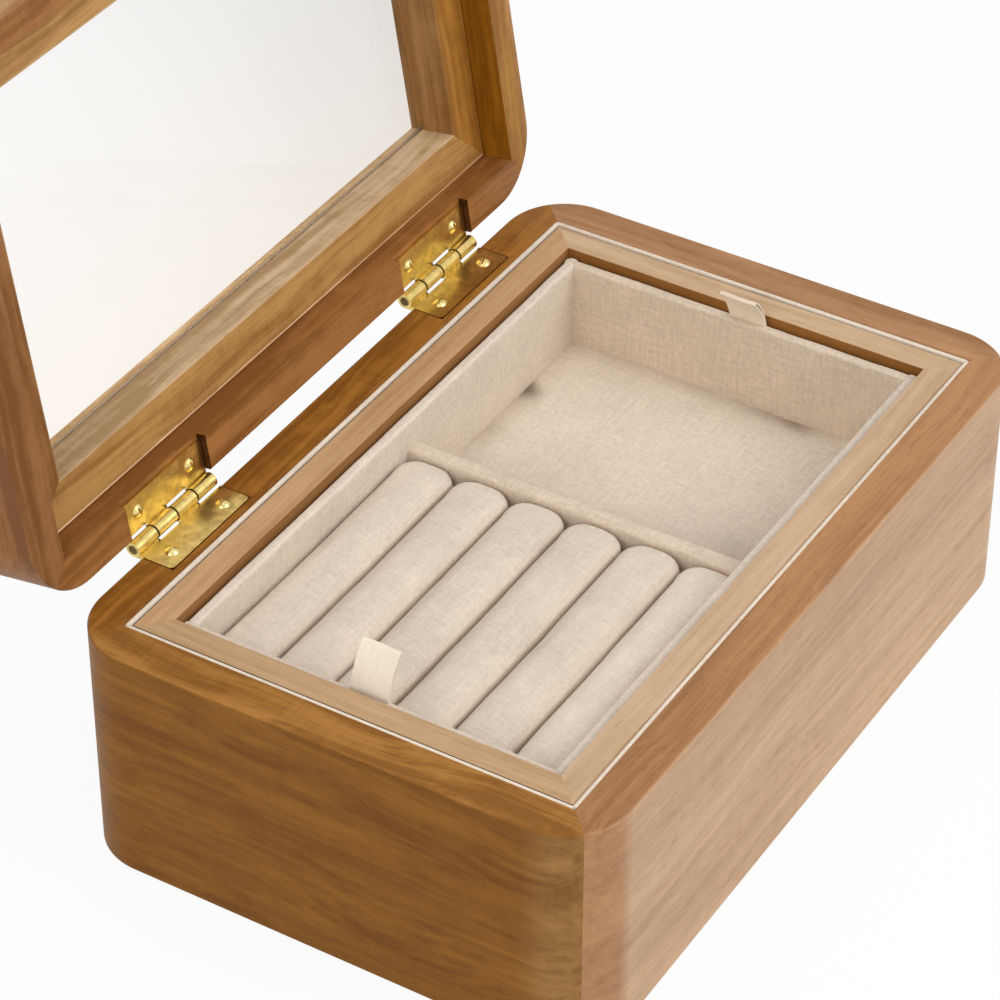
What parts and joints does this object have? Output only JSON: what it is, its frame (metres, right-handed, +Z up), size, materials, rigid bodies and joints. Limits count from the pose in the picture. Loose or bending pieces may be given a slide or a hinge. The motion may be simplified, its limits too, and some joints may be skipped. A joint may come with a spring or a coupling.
{
  "type": "ring display box",
  "caption": "Wooden display box for rings with a hinged glass lid, a pale inner frame and a lift-out linen tray of padded rolls and an open compartment.",
  "frame": {"origin": "centre of the box's flat underside, on the surface it stands on", "axes": "+X along the hinge side, towards the open compartment; +Y from the front to the hinges; +Z up"},
  "size_m": [0.2, 0.173, 0.1927],
  "materials": {
    "case_wood": "satin",
    "lid_wood": "satin",
    "pale_wood": "smooth satin",
    "lining_cloth": "fine weave",
    "tray_linen": "linen weave over board",
    "roll_linen": "linen weave over foam",
    "ribbon": "smooth woven ribbon",
    "brass_leaf": "polished",
    "brass_pins": "polished",
    "clear_glass": "clear"
  },
  "bodies": {
    "box": {"wall_front": "case_wood", "wall_rear": "case_wood", "wall_left": "case_wood", "wall_right": "case_wood", "base_panel": "case_wood", "floor_lining": "lining_cloth", "lining_front": "lining_cloth", "lining_rear": "lining_cloth", "lining_left": "lining_cloth", "lining_right": "lining_cloth", "frame_front": "pale_wood", "frame_rear": "pale_wood", "frame_left": "pale_wood", "frame_right": "pale_wood", "ledge_left": "pale_wood", "ledge_right": "pale_wood", "box_leaf_left": "brass_leaf", "box_leaf_right": "brass_leaf", "hinge_pin_left": "brass_pins", "hinge_pin_right": "brass_pins", "box_leaf_screws": "brass_pins"},
    "lid": {"lid_rail_front": "lid_wood", "lid_rail_rear": "lid_wood", "lid_rail_left": "lid_wood", "lid_rail_right": "lid_wood", "lid_moulding_front": "lid_wood", "lid_moulding_rear": "lid_wood", "lid_moulding_left": "lid_wood", "lid_moulding_right": "lid_wood", "glass_pane": "clear_glass", "lid_leaf_left": "brass_leaf", "lid_leaf_right": "brass_leaf", "lid_leaf_screws": "brass_pins"},
    "tray": {"tray_base": "tray_linen", "tray_wall_front": "tray_linen", "tray_wall_rear": "tray_linen", "tray_wall_left": "tray_linen", "tray_wall_right": "tray_linen", "tray_partition": "tray_linen", "compartment_pad": "tray_linen", "ring_roll_1": "roll_linen", "ring_roll_2": "roll_linen", "ring_roll_3": "roll_linen", "ring_roll_4": "roll_linen", "ring_roll_5": "roll_linen", "ring_roll_6": "roll_linen", "pull_tab_left": "ribbon", "pull_tab_right": "ribbon"}
  },
  "joints": [
    {"name": "lid_hinge", "type": "hinge", "parent": "box", "child": "lid", "pos_m": [0.0007, 0.0679, 0.06085], "axis": [1, 0, 0], "range_deg": [0, 98.9]},
    {"name": "tray_lift", "type": "slide", "parent": "box", "child": "tray", "axis": [0, 0, 1], "range_m": [0, 0.06]}
  ]
}
